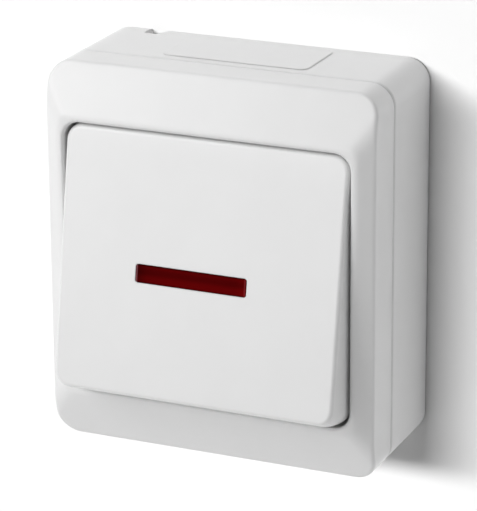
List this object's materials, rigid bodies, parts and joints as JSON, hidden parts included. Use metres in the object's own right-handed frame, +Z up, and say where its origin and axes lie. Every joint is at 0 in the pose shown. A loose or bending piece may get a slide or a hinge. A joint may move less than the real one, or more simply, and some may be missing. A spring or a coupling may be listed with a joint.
{
  "type": "surface mounted light switch",
  "caption": "Surface mounted rocker light switch in a white box housing with sloped cover, wide tilting rocker and red lens bar.",
  "frame": {"origin": "centre of the flat back face that lies on the wall", "axes": "+X right, +Z up, +Y into the wall; the rocker faces -Y"},
  "size_m": [0.074, 0.0417, 0.0841],
  "materials": {
    "white_cover": "smooth satin gloss moulded plastic, cool white",
    "white_rocker": "smooth satin gloss moulded plastic, cool white",
    "red_lens": "polished translucent dark red plastic",
    "white_inner": "matt moulded plastic, off-white",
    "insulator": "matt moulded insulating plastic, dark grey",
    "seal_rubber": "matt soft rubber, black",
    "plated_steel": "bright zinc plated steel",
    "copper_alloy": "bare brass strip",
    "contact_silver": "polished silver alloy rivet",
    "lamp_glass": "clear blown glass",
    "resistor_coat": "matt lacquer coat, tan",
    "lead_sleeve": "matt plastic sleeve, pale"
  },
  "bodies": {
    "housing": {"base_box": "white_cover", "front_cover": "white_cover", "perimeter_gasket": "seal_rubber", "window_seal": "seal_rubber", "mechanism_body": "insulator", "mechanism_screws": "plated_steel", "cover_screws": "plated_steel", "cover_screw_seals": "seal_rubber", "fixed_contact": "contact_silver", "common_strip": "copper_alloy", "load_strip": "copper_alloy", "terminal_clamps": "plated_steel", "terminal_screws": "plated_steel", "lamp_holder": "white_inner", "indicator_lamp": "lamp_glass", "lamp_resistor": "resistor_coat", "lamp_leads": "lead_sleeve"},
    "rocker": {"rocker": "white_rocker", "indicator_lens": "red_lens", "rocker_carrier": "white_inner", "plunger_spring": "plated_steel"},
    "plunger": {"plunger": "white_inner"},
    "contact_lever": {"contact_lever": "copper_alloy", "moving_contact": "contact_silver"}
  },
  "joints": [
    {"name": "rocker_tilt", "type": "hinge", "parent": "housing", "child": "rocker", "pos_m": [0, -0.02766, 0], "axis": [1, 0, 0], "range_deg": [0, 19.28]},
    {"name": "plunger_slide", "type": "slide", "parent": "rocker", "child": "plunger", "axis": [0, -0.9859, 0.1675], "range_m": [0, 0.0008], "stiffness_N_per_m": 300, "springref_m": -0.003, "deforming": ["plunger_spring"]},
    {"name": "lever_tilt", "type": "hinge", "parent": "housing", "child": "contact_lever", "pos_m": [0, -0.0116, 0], "axis": [1, 0, 0], "range_deg": [-14, 0]}
  ],
  "couplings": [
    {"joint": "lever_tilt", "follows": "rocker_tilt", "ratio": -0.7261}
  ]
}
